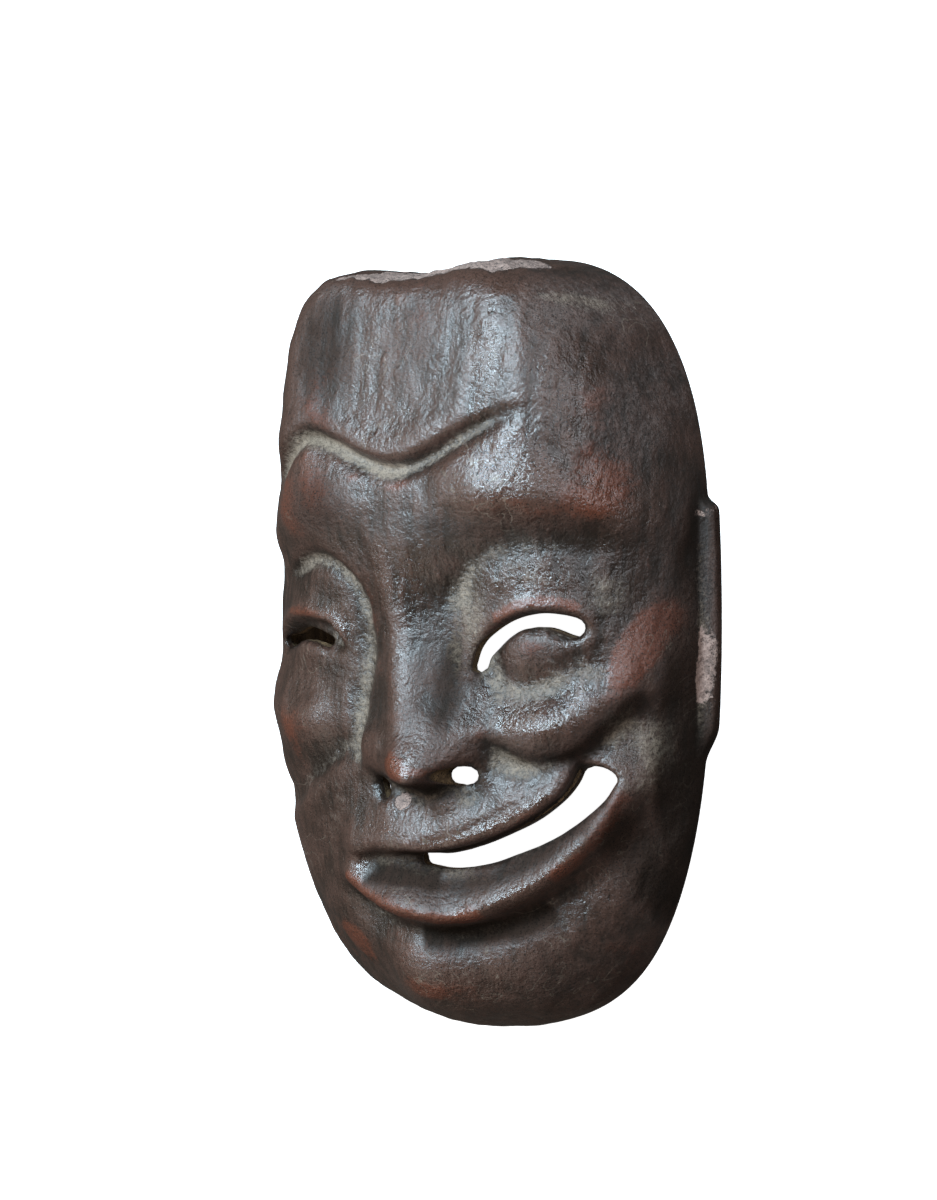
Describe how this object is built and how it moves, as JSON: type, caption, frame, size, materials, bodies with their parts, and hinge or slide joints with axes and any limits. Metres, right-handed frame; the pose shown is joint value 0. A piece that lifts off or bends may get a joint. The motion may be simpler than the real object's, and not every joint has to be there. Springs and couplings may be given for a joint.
{
  "type": "nuo theatre mask",
  "caption": "Hollow carved wooden face mask with narrow eyes, a leaning nose and a lopsided open grin, lying face up on its flat back rim.",
  "frame": {"origin": "centre of the mask's outline on the plane of its back rim", "axes": "+Z out of the face, +Y to the top of the forehead, +X to the wearer's left, the side where the grin rises"},
  "size_m": [0.1654, 0.2594, 0.0778],
  "materials": {
    "lacquered_wood": "satin"
  },
  "bodies": {
    "root": {"mask": "lacquered_wood"}
  },
  "joints": []
}
